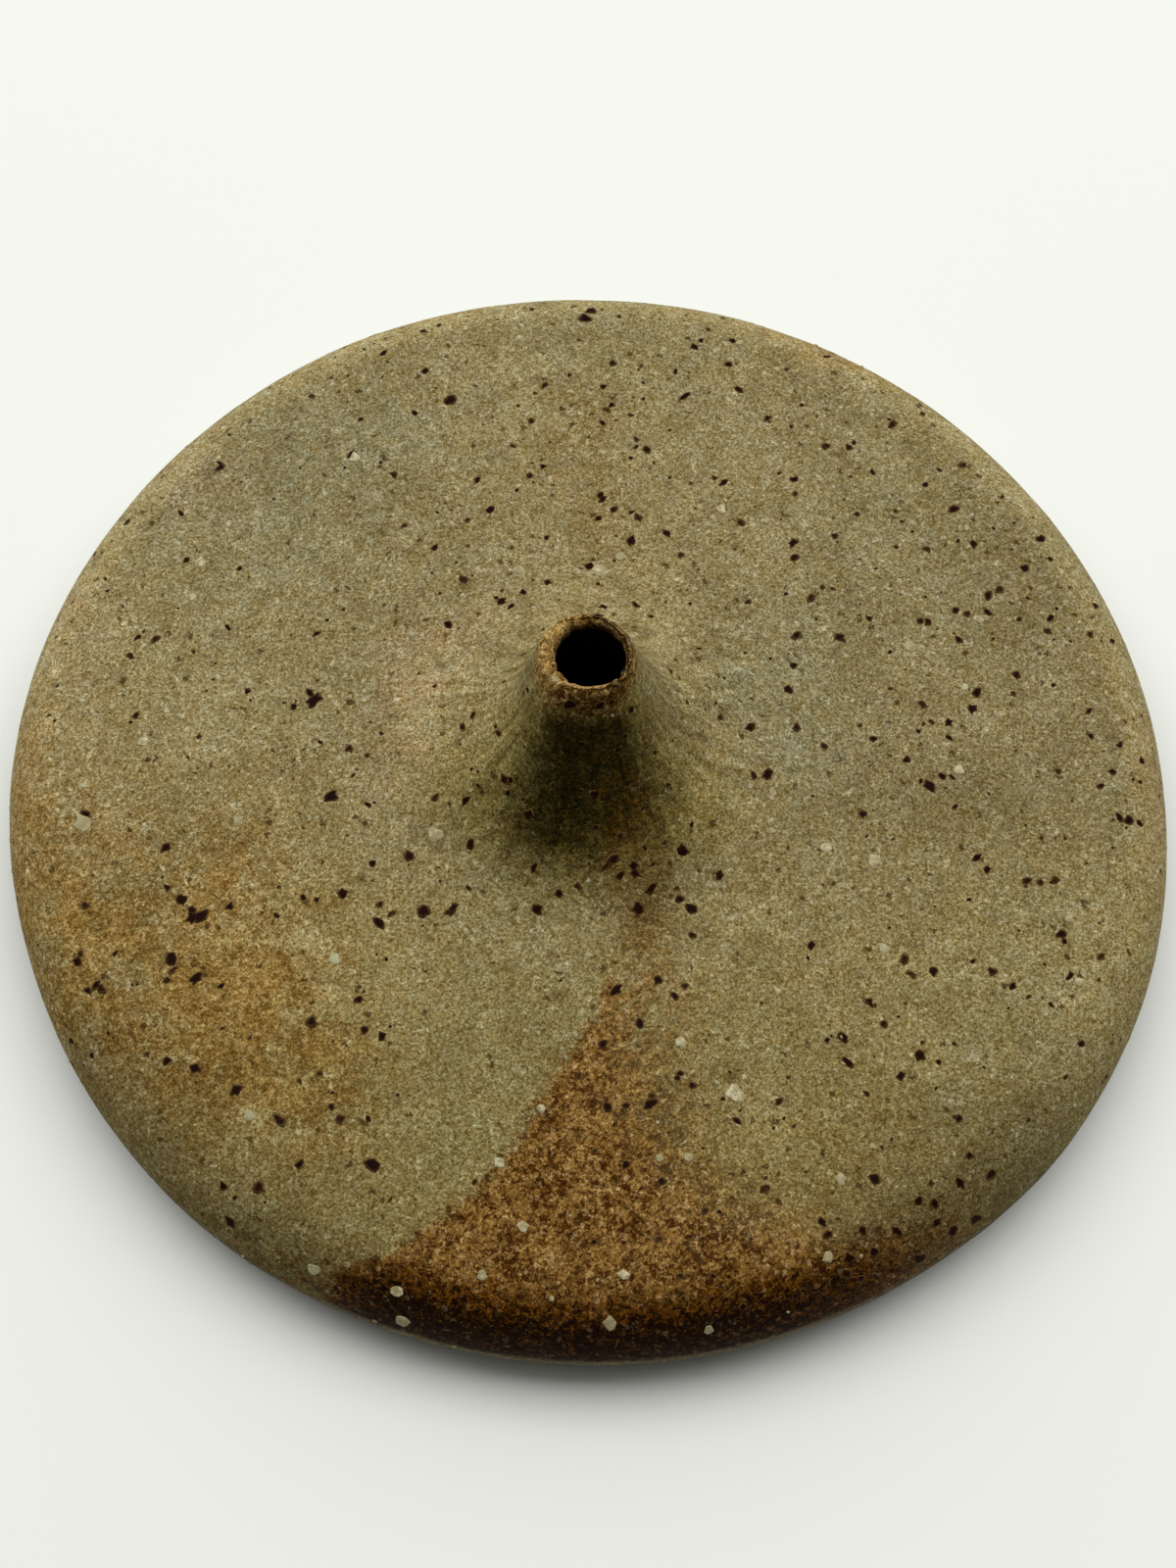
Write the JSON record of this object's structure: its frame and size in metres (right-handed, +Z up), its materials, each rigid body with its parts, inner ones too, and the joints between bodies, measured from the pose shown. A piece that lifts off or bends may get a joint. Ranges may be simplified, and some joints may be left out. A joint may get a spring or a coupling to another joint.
{
  "type": "incense stick holder",
  "caption": "Low round stoneware saucer with a collared neck whose bore holds one incense stick upright, closed below by a luted slab with a ring foot.",
  "frame": {"origin": "centre of the foot, on the table", "axes": "+Z up along the axis of the bore; -Y towards the viewer of the picture, +X to the viewer's right"},
  "size_m": [0.1016, 0.1016, 0.0288],
  "materials": {
    "stoneware": "wood-fired matt clay with iron spots and brown flashing",
    "bare_stoneware": "matt bare clay, turned",
    "dried_slip": "matt clay slip, smoothed with a finger",
    "feldspar": "dull white mineral grain"
  },
  "bodies": {
    "root": {"thrown_top": "stoneware", "base_slab": "bare_stoneware", "luting_slip": "dried_slip", "feldspar_chips": "feldspar"}
  },
  "joints": []
}
